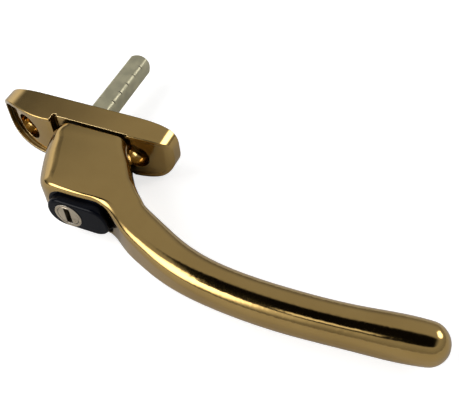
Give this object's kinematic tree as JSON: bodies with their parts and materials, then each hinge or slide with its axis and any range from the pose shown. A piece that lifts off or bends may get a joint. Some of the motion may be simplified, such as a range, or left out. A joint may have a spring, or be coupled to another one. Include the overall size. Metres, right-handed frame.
{
  "type": "locking window handle",
  "caption": "In-line window handle: a narrow screw-on plate, a turning curved lever with a key-locking push button, and a square spindle with snap-off notches at the back.",
  "frame": {"origin": "on the spindle's axis, in the plane of the plate's back, midway between the two screw holes", "axes": "-Y points out of the window frame towards the user, +Y along the spindle into the window, +X from the plate along the lever to its tip, +Z across the plate"},
  "size_m": [0.1696, 0.091, 0.0186],
  "materials": {
    "gold_finish": "gold coating over a smooth zinc casting",
    "black_nylon": "moulded nylon",
    "hard_steel": "ground hardened steel",
    "spring_steel": "drawn spring steel",
    "zinc_plate": "dull zinc plate on steel",
    "black_gloss": "glossy moulded plastic",
    "satin_nickel": "satin nickel plate",
    "bare_brass": "bare stamped brass"
  },
  "bodies": {
    "base": {"base_plate": "gold_finish", "bearing_bush": "black_nylon", "detent_spring_left": "spring_steel", "detent_spring_right": "spring_steel"},
    "handle": {"handle_casting": "gold_finish", "spindle": "zinc_plate", "spindle_pin": "spring_steel", "index_cam": "black_nylon", "thrust_washer": "zinc_plate", "spring_washer": "spring_steel", "retaining_clip": "spring_steel", "button_bezel": "black_gloss", "button_spring": "spring_steel"},
    "ball_left": {"detent_ball_left": "hard_steel"},
    "ball_right": {"detent_ball_right": "hard_steel"},
    "button": {"lock_button": "black_gloss", "cylinder_body": "satin_nickel", "locking_pin": "hard_steel", "latch_spring": "spring_steel"},
    "key": {"key_plug": "satin_nickel", "wafers": "bare_brass", "plug_clip": "spring_steel", "locking_cam": "zinc_plate"},
    "latch": {"latch_bolt": "bare_brass"}
  },
  "joints": [
    {"name": "handle_turn", "type": "hinge", "parent": "base", "child": "handle", "pos_m": [0, 0, 0], "axis": [0, 1, 0], "range_deg": [-90, 90]},
    {"name": "button_push", "type": "slide", "parent": "handle", "child": "button", "axis": [0, 1, 0], "range_m": [0, 0.0034], "stiffness_N_per_m": 400, "springref_m": -0.005, "deforming": ["button_spring"]},
    {"name": "key_turn", "type": "hinge", "parent": "button", "child": "key", "pos_m": [0.01375, 0, 0], "axis": [0, 1, 0], "range_deg": [0, 90]},
    {"name": "latch_draw", "type": "slide", "parent": "button", "child": "latch", "axis": [-1, 0, 0], "range_m": [0, 0.0008], "deforming": ["latch_spring"]},
    {"name": "ball_left_slide", "type": "slide", "parent": "base", "child": "ball_left", "axis": [1, 0, 0], "range_m": [0, 0.0006], "stiffness_N_per_m": 500, "springref_m": 0.004, "deforming": ["detent_spring_left"]},
    {"name": "ball_right_slide", "type": "slide", "parent": "base", "child": "ball_right", "axis": [-1, 0, 0], "range_m": [0, 0.0006], "stiffness_N_per_m": 500, "springref_m": 0.004, "deforming": ["detent_spring_right"]}
  ],
  "couplings": [
    {"joint": "latch_draw", "follows": "key_turn", "m_per_rad": 0.000509}
  ]
}
